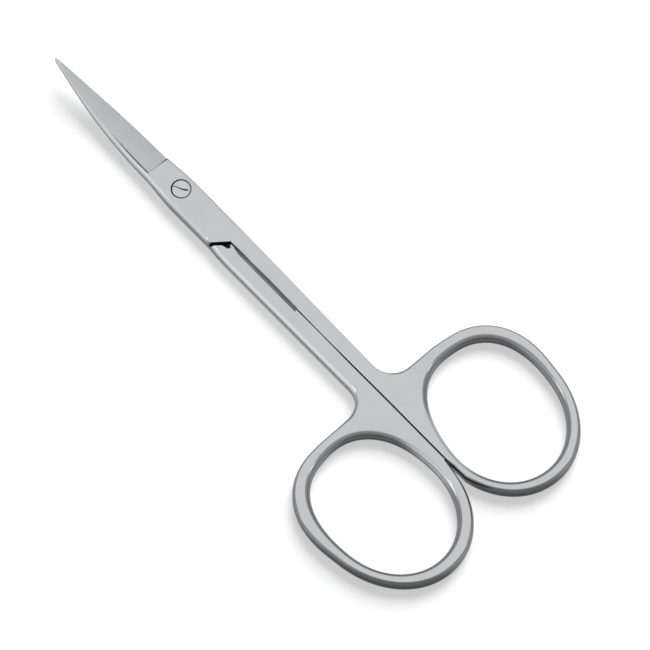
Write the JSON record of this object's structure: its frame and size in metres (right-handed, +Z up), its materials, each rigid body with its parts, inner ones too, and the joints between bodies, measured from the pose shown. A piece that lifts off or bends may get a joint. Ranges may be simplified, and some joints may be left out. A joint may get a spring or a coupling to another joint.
{
  "type": "cuticle scissors",
  "caption": "Small all-steel cuticle scissors with curved, ground, pointed blades, a slotted pivot screw and two oval finger rings.",
  "frame": {"origin": "on the screw axis, in the plane of the flat underside that the tool lies on", "axes": "+X along the closed blades toward the tips, +Z up along the screw axis toward the screw head, the upper half's finger ring toward -Y"},
  "size_m": [0.0904, 0.0417, 0.0046],
  "materials": {
    "forged_steel": "satin polished stainless steel, ground bright on the blade faces",
    "screw_steel": "satin stainless steel, turned and ground flush"
  },
  "bodies": {
    "lower_arm": {"lower_half": "forged_steel", "pivot_screw": "screw_steel"},
    "upper_arm": {"upper_half": "forged_steel"}
  },
  "joints": [
    {"name": "pivot", "type": "hinge", "parent": "lower_arm", "child": "upper_arm", "pos_m": [0, 0, 0.00115], "axis": [0, 0, 1], "range_deg": [0, 60]}
  ]
}
